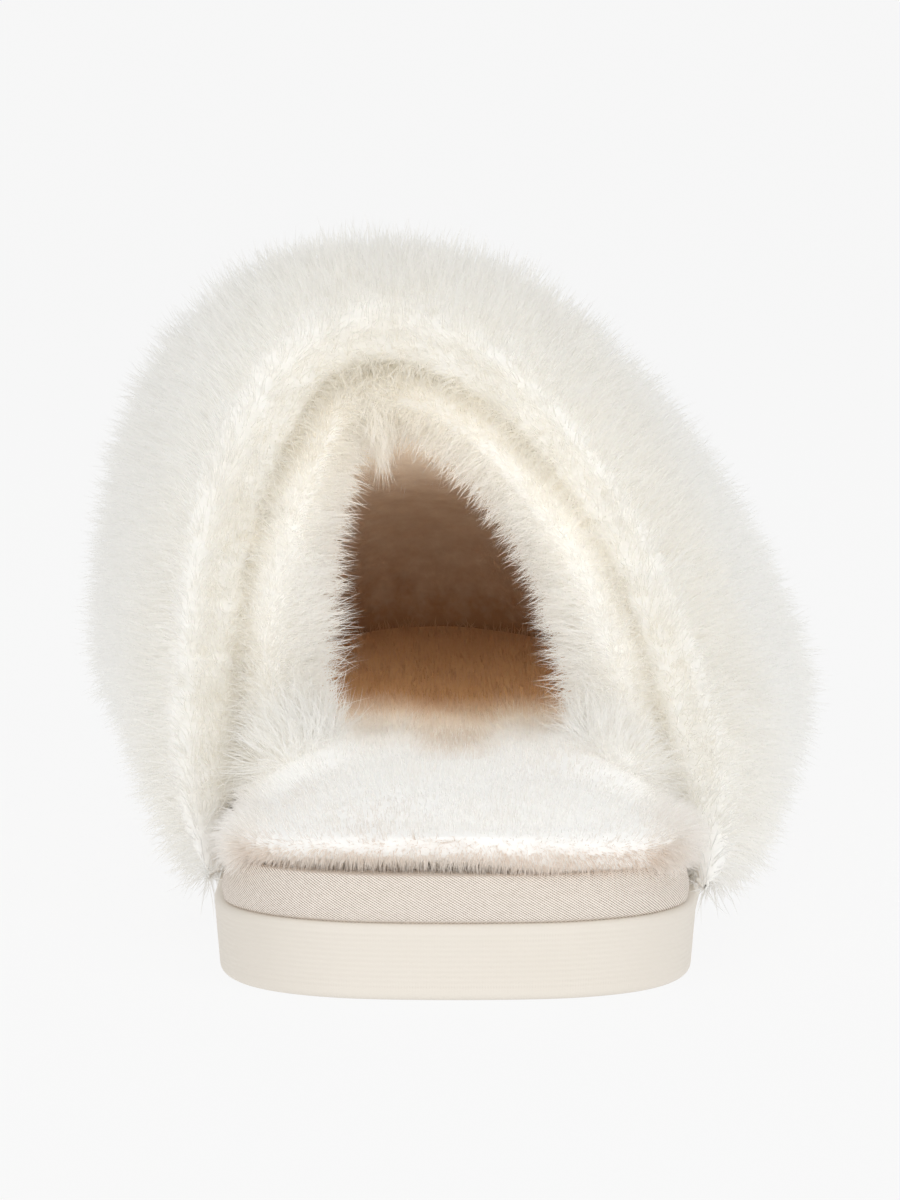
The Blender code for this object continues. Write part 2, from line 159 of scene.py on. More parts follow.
def outsole_levels():
    """The side from the floor up: the rounded foot, the ribs, and the rounded top edge."""
    levels = [(0, -SIDE_LEAN - SOLE_LAP)]
    for k in range(EDGE_STEPS + 1):
        turn = math.pi / 2 * k / EDGE_STEPS
        levels.append((EDGE_ROUND * (1 - math.cos(turn)), -SIDE_LEAN - EDGE_ROUND * (1 - math.sin(turn))))
    ribbed = OUTSOLE_TOP - 2 * EDGE_ROUND
    for k in range(1, OUTSOLE_RIBS * RIB_STEPS + 1):
        share = k / (OUTSOLE_RIBS * RIB_STEPS)
        groove = RIB_DEPTH * (1 - abs(math.sin(math.pi * OUTSOLE_RIBS * share)))
        levels.append((EDGE_ROUND + ribbed * share, -SIDE_LEAN * (1 - share) - groove))
    for k in range(1, EDGE_STEPS + 1):
        turn = math.pi / 2 * k / EDGE_STEPS
        levels.append((OUTSOLE_TOP - EDGE_ROUND * (1 - math.sin(turn)), -EDGE_ROUND * (1 - math.cos(turn))))
    levels.append((OUTSOLE_TOP, -SOLE_LAP))
    return levels


outsole = banded_solid("foam_outsole", level_outline("outsole", OUTSOLE_WIDEST), outsole_levels())
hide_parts("outsole")


def new_material(name, roughness, specular=0.3):
    """A material with its shader's constant values set, and a function that adds and wires a node."""
    material = bpy.data.materials.new(name)
    material.use_nodes = True
    tree = material.node_tree
    shader = tree.nodes["Principled BSDF"]
    shader.inputs["Roughness"].default_value = roughness
    shader.inputs["Specular IOR Level"].default_value = specular

    def add(kind, inputs=(), **settings):
        node = tree.nodes.new(kind)
        for key, value in settings.items():
            setattr(node, key, value)
        for key, value in dict(inputs).items():
            if isinstance(value, bpy.types.NodeSocket):
                tree.links.new(value, node.inputs[key])
            else:
                node.inputs[key].default_value = value
        return node

    def wire(socket, name):
        tree.links.new(socket, shader.inputs[name])

    return material, add, wire


def blend_colours(add, share, first, second):
    """A colour that goes from the first to the second as share goes from 0 to 1."""
    mix = add("ShaderNodeMix", data_type="RGBA")
    mix.inputs["A"].default_value = (*first, 1)
    mix.inputs["B"].default_value = (*second, 1)
    mix.id_data.links.new(share, mix.inputs["Factor"])
    return next(socket for socket in mix.outputs if socket.type == "RGBA")


def foam_material():
    """Matte cream foam, a little uneven in tone, with a thread-fine knurl along its ribs."""
    material, add, wire = new_material("cream_foam", 0.62)
    place = add("ShaderNodeTexCoord").outputs["Object"]
    cloud = add("ShaderNodeTexNoise", {"Vector": place, "Scale": 60, "Detail": 4, "Roughness": 0.6})
    wire(blend_colours(add, cloud.outputs["Fac"], FOAM_LIGHT, FOAM_DEEP), "Base Color")
    side = add("ShaderNodeSeparateXYZ", {"Vector": add("ShaderNodeUVMap", uv_map="side").outputs["UV"]})
    turn = add("ShaderNodeMath", {0: side.outputs["X"], 1: math.tau / KNURL_PITCH}, operation="MULTIPLY")
    knurl = add("ShaderNodeMath", {0: turn.outputs[0]}, operation="SINE")
    grain = add("ShaderNodeTexNoise", {"Vector": place, "Scale": 900, "Detail": 3})
    height = add(
        "ShaderNodeMath", {0: knurl.outputs[0], 1: 0.25, 2: grain.outputs["Fac"]}, operation="MULTIPLY_ADD"
    )
    bump = add("ShaderNodeBump", {"Height": height.outputs[0], "Strength": 0.12, "Distance": 0.0002})
    wire(bump.outputs["Normal"], "Normal")
    return material


outsole.data.materials.append(foam_material())


# Midsole: a foam platform wrapped in beige cotton twill, glued to the outsole inside its edge. Only the
# wrapped side shows, as a soft band round the heel, with the twill's wales running down to the right.

MIDSOLE_BASE = 0.0119
MIDSOLE_WIDEST = 0.0171
BAND_HEIGHT = 0.0074
BAND_TUCK = 0.0006
BAND_ROUND = 0.0007
BAND_SWELL = 0.0005
BAND_SWELL_SHARE = 0.72
BAND_SWELL_STEPS = 9
BAND_TURN_FROM = 0.64
BAND_TURN_STEPS = 7
BAND_LAP = 0.012
TWILL_PITCH = 0.00066
TWILL_SLOPE = 0.62
WALE_WAVER = 0.00035
YARN_PITCH = 0.00052
YARN_SLOPE = -1.4
TWILL_LIGHT = (0.92, 0.845, 0.77)
TWILL_GAP = (0.33, 0.26, 0.20)


def midsole_levels():
    """The wrapped side: a slight swell, and a soft turn onto the top."""
    levels = [(0.0, -BAND_TUCK)]
    for k in range(1, BAND_SWELL_STEPS):
        share = k / BAND_SWELL_STEPS
        levels.append((BAND_HEIGHT * share * BAND_SWELL_SHARE, BAND_SWELL * math.sin(math.pi * share)))
    for k in range(1, BAND_TURN_STEPS + 1):
        turn = math.pi / 2 * k / BAND_TURN_STEPS
        rise = BAND_HEIGHT * (BAND_TURN_FROM + (1 - BAND_TURN_FROM) * math.sin(turn))
        levels.append((rise, -BAND_ROUND * (1 - math.cos(turn))))
    levels.append((BAND_HEIGHT, -BAND_LAP))
    return [(MIDSOLE_BASE + height, out) for height, out in levels]


midsole = banded_solid("twill_midsole", level_outline("midsole", MIDSOLE_WIDEST), midsole_levels())
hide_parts("midsole")


def twill_material():
    """Beige twill: pale yarns that float over in diagonal wales, with shaded gaps, and a fine fuzz."""
    material, add, wire = new_material("beige_twill", 0.92, 0.15)
    place = add("ShaderNodeTexCoord").outputs["Object"]
    chart = add("ShaderNodeUVMap", uv_map="side").outputs["UV"]
    waver = add("ShaderNodeTexNoise", {"Vector": place, "Scale": 420, "Detail": 3})
    side = add("ShaderNodeSeparateXYZ", {"Vector": chart})
    slant = add(
        "ShaderNodeMath",
        {0: side.outputs["Y"], 1: 1 / TWILL_SLOPE, 2: side.outputs["X"]},
        operation="MULTIPLY_ADD",
    )
    drift = add(
        "ShaderNodeMath",
        {0: waver.outputs["Fac"], 1: WALE_WAVER, 2: slant.outputs[0]},
        operation="MULTIPLY_ADD",
    )
    turn = add("ShaderNodeMath", {0: drift.outputs[0], 1: math.tau / TWILL_PITCH}, operation="MULTIPLY")
    wale = add("ShaderNodeMath", {0: turn.outputs[0]}, operation="SINE")
    lean = add(
        "ShaderNodeMath",
        {0: side.outputs["Y"], 1: YARN_SLOPE, 2: side.outputs["X"]},
        operation="MULTIPLY_ADD",
    )
    cross = add("ShaderNodeMath", {0: lean.outputs[0], 1: math.tau / YARN_PITCH}, operation="MULTIPLY")
    yarn = add("ShaderNodeMath", {0: cross.outputs[0]}, operation="SINE")
    woven = add("ShaderNodeMath", {0: yarn.outputs[0], 1: 0.55, 2: wale.outputs[0]}, operation="MULTIPLY_ADD")
    fuzz = add("ShaderNodeTexNoise", {"Vector": place, "Scale": 1500, "Detail": 3})
    raised = add(
        "ShaderNodeMath", {0: fuzz.outputs["Fac"], 1: 0.9, 2: woven.outputs[0]}, operation="MULTIPLY_ADD"
    )
    shown = add("ShaderNodeMapRange", {"Value": raised.outputs[0], "From Min": -0.9, "From Max": 0.9})
    wire(blend_colours(add, shown.outputs["Result"], TWILL_GAP, TWILL_LIGHT), "Base Color")
    bump = add("ShaderNodeBump", {"Height": raised.outputs[0], "Strength": 0.35, "Distance": 0.0003})
    wire(bump.outputs["Normal"], "Normal")
    return material


midsole.data.materials.append(twill_material())


# Footbed: a plush sock over the midsole, with a dense short pile. It domes at the heel, where its pile comes
# down to the twill, and runs forward under the upper, where it turns tan: the lining's beige, deepened by
# painted shade.

PILE_SEED = 11
STRAND_ROLL = 0.5
STRAND_TURN = 0.15
STRAND_SPAN = (0.75, 1.15)
STRAND_TAPER = 0.55
PILE_GLOW = 0.5
LOCK_HEIGHT = 0.0012
RAY_START = 0.0005
SEAM_REACH = 0.008
THIN_SHARE = 0.35
FLOOR_CLEARANCE = 0.0012
FOOTBED_INSET = 0.0012
FOOTBED_FILL = 0.0026
FOOTBED_STRANDS = 64000
FOOTBED_LENGTH = 0.0032
FOOTBED_WIDTH = 0.00017
FOOTBED_ROOT = 0.0006
FOOTBED_ROOT_SHADE = 0.98
FOOTBED_COVER = 0.0012
FOOTBED_STAND = 0.6
FOOTBED_NAP = 0.7
FOOTBED_SWIRL = 0.35
FOOTBED_SWIRL_SIZE = 0.022
FOOTBED_RUFFLE = 0.3
FOOTBED_LOCK = 9
FOOTBED_GATHER = 0.2
HEEL_DENSITY = 3.0
INSIDE_DENSITY = 1.7
BACK_DENSITY = 2.5
FLANK_DENSITY = 4.0
RIM_DENSITY = 1.5
WHITE_PILE = (0.995, 0.988, 0.970)
# The sock under the pile is a touch deeper than the pile, as painted shade between the strands.
SOCK_WHITE = (0.978, 0.969, 0.946)
SHADED_TAN_PILE = (0.62, 0.415, 0.25)
INSIDE_FROM = 0.000
INSIDE_TO = 0.048
INSIDE_TAN_AND_SHADE = 0.92
PARTING_FROM = -0.086
PARTING_TO = -0.066
PARTING_WIDTH = 0.0065
PARTING_SHADE = 0.20
PARTING_DEPTH = 0.0034
PAD_SIDE = 0.029
PAD_SIDE_WIDTH = 0.010
PAD_FRONT = -0.050
PAD_MIDDLE = np.array([0.0, -0.060, 0.0])
PAD_NAP = 0.7
PAD_DROOP = np.array([0, -0.2, -0.5])
PAD_TONE = 0.03
PAD_MOTTLE = 0.03
PAD_MOTTLE_SIZE = 0.020
PAD_FLECK = 0.02
BACK_FACING_SHADE = 0.26
FLANK_OUT = np.array([1.2, 0, 0])
FLANK_LONGER = 1.7
RIM_BASE = 0.0196
RIM_DENSE = 0.003
RIM_HEIGHT = 0.0070
RIM_OUT = np.array([0, -0.7, 0])
RIM_DROOP = np.array([0, 0, -0.8])
RIM_SHADE = 0.08
RIM_SHORTER = 0.15


def flattened(node):
    """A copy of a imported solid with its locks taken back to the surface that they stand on."""
    bm = bmesh.new()
    bm.from_mesh(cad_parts[node].data)
    bmesh.ops.remove_doubles(bm, verts=bm.verts, dist=1e-6)
    bm.normal_update()
    tips = []
    for vert in bm.verts:
        ring = [edge.other_vert(vert).co for edge in vert.link_edges]
        stands = (vert.co - sum(ring, Vector()) / len(ring)).dot(vert.normal)
        if len(ring) <= 4 and stands > LOCK_HEIGHT:
            tips.append(vert)
    bmesh.ops.dissolve_verts(bm, verts=tips)
    return bm


def softened(bm, cuts, rounds):
    """Cuts every face up finely, and rounds the creases between the faces."""
    bmesh.ops.subdivide_edges(bm, edges=bm.edges, cuts=cuts, use_grid_fill=True)
    for _ in range(rounds):
        bmesh.ops.smooth_vert(
            bm, verts=bm.verts, factor=0.5, use_axis_x=True, use_axis_y=True, use_axis_z=True
        )
    bmesh.ops.recalc_face_normals(bm, faces=bm.faces)
    return bm


def mesh_arrays(mesh):
    """The mesh's corners, its triangles and its corner normals, as arrays."""
    mesh.calc_loop_triangles()
    corners = np.empty(len(mesh.vertices) * 3)
    mesh.vertices.foreach_get("co", corners)
    normals = np.empty(len(mesh.vertices) * 3)
    mesh.vertex_normals.foreach_get("vector", normals)
    faces = np.empty(len(mesh.loop_triangles) * 3, int)
    mesh.loop_triangles.foreach_get("vertices", faces)
    return corners.reshape(-1, 3), faces.reshape(-1, 3), normals.reshape(-1, 3)


def face_centres(mesh):
    """The middle of each of the mesh's triangles."""
    corners, faces, _ = mesh_arrays(mesh)
    return corners[faces].mean(1)


def packed_tree(*nodes):
    """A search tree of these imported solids, to tell what they cover."""
    corners, faces = [], []
    for node in nodes:
        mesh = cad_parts[node].data
        mesh.calc_loop_triangles()
        start = len(corners)
        corners += [vert.co.copy() for vert in mesh.vertices]
        faces += [[start + k for k in triangle.vertices] for triangle in mesh.loop_triangles]
    return BVHTree.FromPolygons(corners, faces)


def open_triangles(mesh, cover, reach):
    """Which of the mesh's triangles have nothing of the cover in front of them within reach."""
    corners, faces, normals = mesh_arrays(mesh)
    facing = unit(normals[faces].mean(1))
    starts = corners[faces].mean(1) - facing * RAY_START
    hits = [cover.ray_cast(Vector(c), Vector(n), reach)[0] for c, n in zip(starts, facing)]
    return np.array([hit is None for hit in hits], float)


def near(points, tree, reach):
    """How near each point is to the tree's solids, from 1 to 0 at this reach."""
    gaps = np.array([tree.find_nearest(Vector(point))[3] for point in points])
    return np.clip(1 - gaps / reach, 0, 1)


def scatter(mesh, count, rng, weights):
    """Roots spread over the mesh's triangles by area and weight, with the surface's direction at each."""
    corners, faces, normals = mesh_arrays(mesh)
    a, b, c = (corners[faces[:, k]] for k in range(3))
    area = np.linalg.norm(np.cross(b - a, c - a), axis=1) * weights
    chosen = rng.choice(len(faces), count, p=area / area.sum())
    share = rng.random((count, 2))
    share[share.sum(1) > 1] = 1 - share[share.sum(1) > 1]
    u, v = share[:, :1], share[:, 1:]
    roots = a[chosen] * (1 - u - v) + b[chosen] * u + c[chosen] * v
    turned = [normals[faces[chosen, k]] for k in range(3)]
    return roots, unit(turned[0] * (1 - u - v) + turned[1] * u + turned[2] * v)


def unit(vectors):
    """The vectors, each brought to a length of one."""
    return vectors / np.maximum(np.linalg.norm(vectors, axis=1)[:, None], 1e-9)


def along_surface(direction, normals):
    """The part of a direction that lies in the surface."""
    return direction - normals * np.sum(direction * normals, axis=1)[:, None]


def wander(points, size, rng):
    """A direction that changes smoothly over the surface, in swirls of about that size."""
    swirl = np.zeros_like(points)
    for _ in range(5):
        wave = rng.normal(size=3)
        wave *= math.tau / size / np.linalg.norm(wave) * rng.uniform(0.6, 1.4)
        swirl += np.sin(points @ wave + rng.uniform(0, math.tau))[:, None] * rng.normal(size=3)
    return swirl / 2.5


def gathered(roots, members, rng):
    """From each root, the way to the middle of the small lock of so many members that it belongs to."""
    heads = roots[rng.choice(len(roots), len(roots) // members, replace=False)]
    tree = kdtree.KDTree(len(heads))
    for k, head in enumerate(heads):
        tree.insert(head, k)
    tree.balance()
    return heads[[tree.find(root)[1] for root in roots]] - roots


def grow_pile(name, roots, normals, start, finish, length, width, tone, rng, steps):
    """Strands as thin tapering strips that leave along start and bend to finish, their flat sides turned
    outwards. Their map holds each strand's tone across, and runs from root to tip upwards."""
    count = len(roots)
    levels = np.linspace(0, 1, steps + 1)
    start, finish = unit(start), unit(finish)
    middle = unit(start + finish)
    across = unit(np.cross(middle, normals + STRAND_TURN * rng.normal(size=(count, 3))))
    roll = rng.normal(0, STRAND_ROLL, count)[:, None]
    facing = across * np.cos(roll) + np.cross(middle, across) * np.sin(roll)
    columns = []
    for level in levels:
        centre = roots + length[:, None] * (start * level + (finish - start) * level**2 / 2)
        half = facing * (width * (1 - STRAND_TAPER * level) / 2)
        columns += [centre] if level == 1 else [centre - half, centre + half]
    per = 2 * steps + 1
    corners = np.stack(columns, axis=1)
    corners[:, :, 2] = np.maximum(corners[:, :, 2], FLOOR_CLEARANCE)
    first = (np.arange(count) * per)[:, None]
    quads = [first + np.array([2 * k, 2 * k + 1, 2 * k + 3, 2 * k + 2]) for k in range(steps - 1)]
    tip = first + np.array([per - 3, per - 2, per - 1])
    loops = np.concatenate(quads + [tip], axis=1).reshape(-1)
    sizes = np.tile([4] * (steps - 1) + [3], count)
    starts = np.concatenate([[0], np.cumsum(sizes)[:-1]])
    mesh = bpy.data.meshes.new(name)
    mesh.vertices.add(count * per)
    mesh.vertices.foreach_set("co", corners.reshape(-1))
    mesh.loops.add(len(loops))
    mesh.loops.foreach_set("vertex_index", loops.astype(np.int32))
    mesh.polygons.add(len(sizes))
    mesh.polygons.foreach_set("loop_start", starts.astype(np.int32))
    mesh.polygons.foreach_set("loop_total", sizes.astype(np.int32))
    mesh.update(calc_edges=True)
    rise = np.repeat(levels, 2)[:per]
    chart = np.stack([np.repeat(np.clip(tone, 0.01, 0.99), per), np.tile(rise, count) * 0.96 + 0.02], axis=1)
    mesh.uv_layers.new(name="OFBake").data.foreach_set("uv", chart[loops].reshape(-1))
    mesh.shade_smooth()
    piece = bpy.data.objects.new(name, mesh)
    bpy.context.scene.collection.objects.link(piece)
    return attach(piece, "root")


def pile_material(name, pale, deep, root_shade):
    """Soft pile: a strand's tone runs from pale to deep, and a little painted shade deepens its root."""
    material, add, wire = new_material(name, 0.85, 0.12)
    chart = add("ShaderNodeUVMap", uv_map="OFBake").outputs["UV"]
    side = add("ShaderNodeSeparateXYZ", {"Vector": chart})
    tone = blend_colours(add, side.outputs["X"], pale, deep)
    climb = add("ShaderNodeMapRange", {"Value": side.outputs["Y"], "From Max": 0.6, "To Min": root_shade})
    lit = add("ShaderNodeMix", {"Factor": 1.0}, data_type="RGBA", blend_type="MULTIPLY")
    lit.id_data.links.new(tone, lit.inputs["A"])
    lit.id_data.links.new(climb.outputs["Result"], lit.inputs["B"])
    colour = next(socket for socket in lit.outputs if socket.type == "RGBA")
    wire(colour, "Base Color")
    nodes = material.node_tree.nodes
    through = add("ShaderNodeBsdfTranslucent", {"Color": colour})
    both = add(
        "ShaderNodeMixShader",
        {0: PILE_GLOW, 1: nodes["Principled BSDF"].outputs[0], 2: through.outputs[0]},
    )
    material.node_tree.links.new(both.outputs[0], nodes["Material Output"].inputs["Surface"])
    return material


def skin_material(name, pale, deep, size):
    """The close underfur between the strands, cloudy in tone and finely napped."""
    material, add, wire = new_material(name, 0.95, 0.05)
    place = add("ShaderNodeTexCoord").outputs["Object"]
    cloud = add("ShaderNodeTexNoise", {"Vector": place, "Scale": 1 / size, "Detail": 5, "Roughness": 0.6})
    wire(blend_colours(add, cloud.outputs["Fac"], pale, deep), "Base Color")
    nap = add("ShaderNodeTexNoise", {"Vector": place, "Scale": 1100, "Detail": 3})
    bump = add("ShaderNodeBump", {"Height": nap.outputs["Fac"], "Strength": 0.4, "Distance": 0.0004})
    wire(bump.outputs["Normal"], "Normal")
    return material


def sink(piece, depth, shown, seam, fill):
    """Takes the shown part of a skin in by this depth, or by less where it is thin, so that its strands make
    up the full form, and fills it out where it meets the solids of the seam."""
    corners, faces, normals = mesh_arrays(piece.data)
    share = np.zeros(len(corners))
    meets = np.zeros(len(corners))
    for k in range(3):
        np.add.at(share, faces[:, k], shown)
        np.add.at(meets, faces[:, k], 1)
    whole = BVHTree.FromPolygons(corners.tolist(), faces.tolist())
    back = [whole.ray_cast(Vector(c - n * 1e-4), Vector(-n))[3] for c, n in zip(corners, normals)]
    thickness = np.array([0 if gap is None else gap for gap in back])
    closeness = near(corners, seam, SEAM_REACH)
    depths = np.minimum(depth(corners), THIN_SHARE * thickness) * (1 - closeness) - fill * closeness
    corners -= normals * (depths * share / np.maximum(meets, 1))[:, None]
    piece.data.vertices.foreach_set("co", corners.reshape(-1))
    piece.data.update()


rng = np.random.default_rng(PILE_SEED)
footbed = as_piece("footbed_sock", softened(flattened("insole"), 3, 14))
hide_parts("insole")
shown = open_triangles(footbed.data, packed_tree("upper", "cuff_fur", "midsole"), FOOTBED_COVER)


def parted(points):
    """1 along the shallow parting that runs forward from the pad's crest, 0 beside it."""
    along = np.clip((points[:, 1] - PARTING_FROM) / (PARTING_TO - PARTING_FROM), 0, 1)
    return along * np.exp(-((points[:, 0] / PARTING_WIDTH) ** 4))


def footbed_depth(corners):
    """How far the sock is taken in: evenly, and further along the parting."""
    return FOOTBED_INSET + PARTING_DEPTH * parted(corners)


sink(footbed, footbed_depth, shown, packed_tree("midsole", "cuff_fur"), FOOTBED_FILL)
middles = face_centres(footbed.data)
on_pad = middles[:, 1] < PAD_FRONT
heel_first = np.where(on_pad, HEEL_DENSITY, INSIDE_DENSITY)
_, faces, normals = mesh_arrays(footbed.data)
heel_first *= 1 + BACK_DENSITY * np.clip(-normals[faces].mean(1)[:, 1], 0, 1)
heel_first *= 1 + FLANK_DENSITY * np.clip((np.abs(middles[:, 0]) - PAD_SIDE) / PAD_SIDE_WIDTH, 0, 1)
heel_first *= 1 + RIM_DENSITY * ((middles[:, 2] < RIM_BASE + RIM_DENSE) & on_pad)
roots, facing = scatter(footbed.data, FOOTBED_STRANDS, rng, shown * heel_first)
on_pad = roots[:, 1] < PAD_FRONT
heelward = unit((roots - PAD_MIDDLE) * np.array([1, 1, 0])) * (roots[:, 1:2] < PAD_MIDDLE[1])
rim = np.clip(1 - (roots[:, 2:] - RIM_BASE) / RIM_HEIGHT, 0, 1) * on_pad[:, None]
flank = np.clip((np.abs(roots[:, 0]) - PAD_SIDE) / PAD_SIDE_WIDTH, 0, 1) * on_pad
nap = along_surface(heelward * PAD_NAP + PAD_DROOP, facing)
lean = facing * FOOTBED_STAND + nap * FOOTBED_NAP * (1 - rim)
lean += FOOTBED_SWIRL * wander(roots, FOOTBED_SWIRL_SIZE, rng)
lean += FOOTBED_RUFFLE * rng.normal(size=roots.shape)
lean += rim * RIM_OUT + rim**3 * RIM_DROOP + (flank * np.sign(roots[:, 0]))[:, None] * FLANK_OUT
lean += gathered(roots, FOOTBED_LOCK, rng) / FOOTBED_LENGTH * FOOTBED_GATHER
# The pile deepens to tan inside the shoe: the lining's beige, with painted shade over it.
inside = np.clip((roots[:, 1] - INSIDE_FROM) / (INSIDE_TO - INSIDE_FROM), 0, 1)
# Painted shade along the parting and at the foot of the pad's rim.
tone = np.maximum(INSIDE_TAN_AND_SHADE * inside, PARTING_SHADE * parted(roots)) + RIM_SHADE * rim[:, 0]
# Painted shade on the pad's back-facing side.
tone += BACK_FACING_SHADE * np.clip(-facing[:, 1], 0, 1) ** 2 * on_pad
tone += PAD_TONE + PAD_MOTTLE * wander(roots, PAD_MOTTLE_SIZE, rng)[:, 0]
tone += PAD_FLECK * rng.normal(size=len(roots))
length = FOOTBED_LENGTH * rng.uniform(*STRAND_SPAN, len(roots))
length *= (1 - RIM_SHORTER * rim[:, 0]) * (1 + FLANK_LONGER * flank)
footbed_pile = grow_pile(
    "footbed_pile", roots - facing * FOOTBED_ROOT, facing, facing, lean, length, FOOTBED_WIDTH, tone, rng, 2
)
plush_pile = pile_material("white_plush_pile", WHITE_PILE, SHADED_TAN_PILE, FOOTBED_ROOT_SHADE)
footbed_pile.data.materials.append(plush_pile)


def plush_skin_material():
    """The sock under the pile: white at the heel, tan with painted shade inside the shoe, and finely napped.
    """
    material, add, wire = new_material("white_plush_skin", 0.95, 0.05)
    place = add("ShaderNodeTexCoord").outputs["Object"]
    depth = add("ShaderNodeSeparateXYZ", {"Vector": place}).outputs["Y"]
    fade = add("ShaderNodeMapRange", {"Value": depth, "From Min": INSIDE_FROM, "From Max": INSIDE_TO})
    wire(blend_colours(add, fade.outputs["Result"], SOCK_WHITE, SHADED_TAN_PILE), "Base Color")
    nap = add("ShaderNodeTexNoise", {"Vector": place, "Scale": 1100, "Detail": 3})
    bump = add("ShaderNodeBump", {"Height": nap.outputs["Fac"], "Strength": 0.4, "Distance": 0.0004})
    wire(bump.outputs["Normal"], "Normal")
    return material


footbed.data.materials.append(plush_skin_material())


# Upper: the vamp's shell, a wadded wall between the fur's backing and a tan plush lining. It is lasted onto
# the midsole's side, and its cut edge shows pale at the two back corners.

# The lining's tan runs from painted light at the collar to painted shade down towards the toe.
LINING_LIT = (0.995, 0.93, 0.80)
LINING_SHADED = (0.42, 0.245, 0.135)
LINING_LIT_FROM = 0.066
LINING_SHADED_FROM = 0.030
LINING_BACK = -0.045
LINING_MOTTLE = 0.022
INWARD_FROM = -0.25
BACKING_CLOUD = 0.008
SHELL_MIDDLE = Vector((-0.004, 0.060, 0.036))

shell = bmesh.new()
shell.from_mesh(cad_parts["upper"].data)
bmesh.ops.remove_doubles(shell, verts=shell.verts, dist=1e-6)
upper = as_piece("upper_shell", softened(shell, 1, 2))
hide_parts("upper")
upper.data.materials.append(skin_material("cream_backing", SOCK_WHITE, FOAM_LIGHT, BACKING_CLOUD))


def lining_material():
    """Tan plush lining, with painted light where it comes up to the collar and painted shade down towards the
    toe.
    """
    material, add, wire = new_material("tan_lining_shaded_skin", 0.95, 0.05)
    place = add("ShaderNodeTexCoord").outputs["Object"]
    height = add("ShaderNodeSeparateXYZ", {"Vector": place}).outputs["Z"]
    cloud = add("ShaderNodeTexNoise", {"Vector": place, "Scale": 190, "Detail": 4, "Roughness": 0.65})
    mottle = add(
        "ShaderNodeMath", {0: cloud.outputs["Fac"], 1: LINING_MOTTLE, 2: height}, operation="MULTIPLY_ADD"
    )
    fade = add(
        "ShaderNodeMapRange",
        {
            "Value": mottle.outputs[0],
            "From Min": LINING_LIT_FROM + LINING_MOTTLE / 2,
            "From Max": LINING_SHADED_FROM + LINING_MOTTLE / 2,
        },
    )
    wire(blend_colours(add, fade.outputs["Result"], LINING_LIT, LINING_SHADED), "Base Color")
    nap = add("ShaderNodeTexNoise", {"Vector": place, "Scale": 700, "Detail": 4})
    bump = add("ShaderNodeBump", {"Height": nap.outputs["Fac"], "Strength": 0.5, "Distance": 0.0006})
    wire(bump.outputs["Normal"], "Normal")
    return material


upper.data.materials.append(lining_material())


def lines_inside(centres, normals):
    """Which faces of the shell look into the shoe."""
    middle = np.stack(
        [
            np.full(len(centres), SHELL_MIDDLE.x),
            np.minimum(centres[:, 1], SHELL_MIDDLE.y),
            np.full(len(centres), SHELL_MIDDLE.z),
        ],
        axis=1,
    )
    inward = np.sum(unit(centres - middle) * normals, axis=1) < INWARD_FROM
    return inward & (centres[:, 1] > LINING_BACK)


centres = np.array([face.center[:] for face in upper.data.polygons])
normals = np.array([face.normal[:] for face in upper.data.polygons])
upper.data.polygons.foreach_set("material_index", lines_inside(centres, normals).astype(np.int32))


# Outer fur: long cream faux fur over the whole upper, knitted into a backing that the shell carries. Its nap
# runs away from the collar seam, where it stands and leans over the cuff. At the feather line it hangs over
# the sole's side.

FUR_INSET = 0.0032
FUR_FILL = 0.0022
FUR_UNDER = 60000
FUR_GUARD = 32000
FUR_LENGTH = 0.0074
FUR_WIDTH = 0.00020
UNDERFUR_LENGTH = 0.80
UNDERFUR_WIDTH = 1.2
FUR_GUARD_LENGTH = 1.12
GUARD_WIDTH = 0.9
FUR_ROOT = 0.001
FUR_ROOT_SHADE = 0.98
FUR_COVER = 0.0008
SEAM_COVER = 0.0015
FUR_STAND = 0.62
FUR_NAP = 0.6
FUR_SPREAD = 0.7
FUR_SWEEP = np.array([0, 0.8, -0.2])
FUR_START_NAP = 0.3
FUR_SWIRL = 0.25
FUR_SWIRL_SIZE = 0.020
FUR_RUFFLE = 0.22
FUR_LOCK = 10
FUR_GATHER = 0.4
FUR_BACK_FROM = 0.02
FUR_BACK_DENSITY = 1.8
FUR_TONE = 0.04
FUR_NEAR_SEAM_SHADE = 0.15
FUR_FLECK = 0.05
FUR_MOTTLE = 0.04
FUR_MOTTLE_SIZE = 0.012
OFF_SEAM_OUT = 0.5
OVER_SEAM = 1.6
OVER_SEAM_LONGER = 0.5
VALLEY_REACH = 0.017
VALLEY_RUFFLE = 0.30
VALLEY_SHADE = 0.6
VALLEY_MOTTLE = 0.2
CREAM_FUR = (0.928, 0.925, 0.914)
DEEP_FUR = (0.970, 0.941, 0.876)
FUR_LOW_FROM = 0.045
FUR_LOW_TO = 0.020
FUR_LOW_FULLER = 0.5
SKIN_CLOUD = 0.010
FUR_MIDDLE = np.array([-0.004, 0.0, 0.045])

fur = as_piece("outer_fur_skin", softened(flattened("upper_fur"), 3, 30))
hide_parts("upper_fur")
shown = open_triangles(fur.data, packed_tree("upper", "outsole", "midsole"), FUR_COVER)
shown *= open_triangles(fur.data, packed_tree("cuff_fur"), SEAM_COVER)
cuff_tree = packed_tree("cuff_fur")


def low_down(points):
    """0 above, 1 at the foot of the fur, where it swells over the sole's side."""
    return np.clip((FUR_LOW_FROM - points[:, 2]) / (FUR_LOW_FROM - FUR_LOW_TO), 0, 1)


def off_seam(points):
    """The way that the fur of both bands stands at the seam: back from the shoe and a little outwards."""
    outwards = unit((points - FUR_MIDDLE) * np.array([1, 0, 1]))
    return unit(outwards * OFF_SEAM_OUT + np.array([0, -1, 0]))


def fur_depth(corners):
    """How far the fur's skin is taken in: less at its foot."""
    return FUR_INSET * (1 - FUR_LOW_FULLER * low_down(corners))


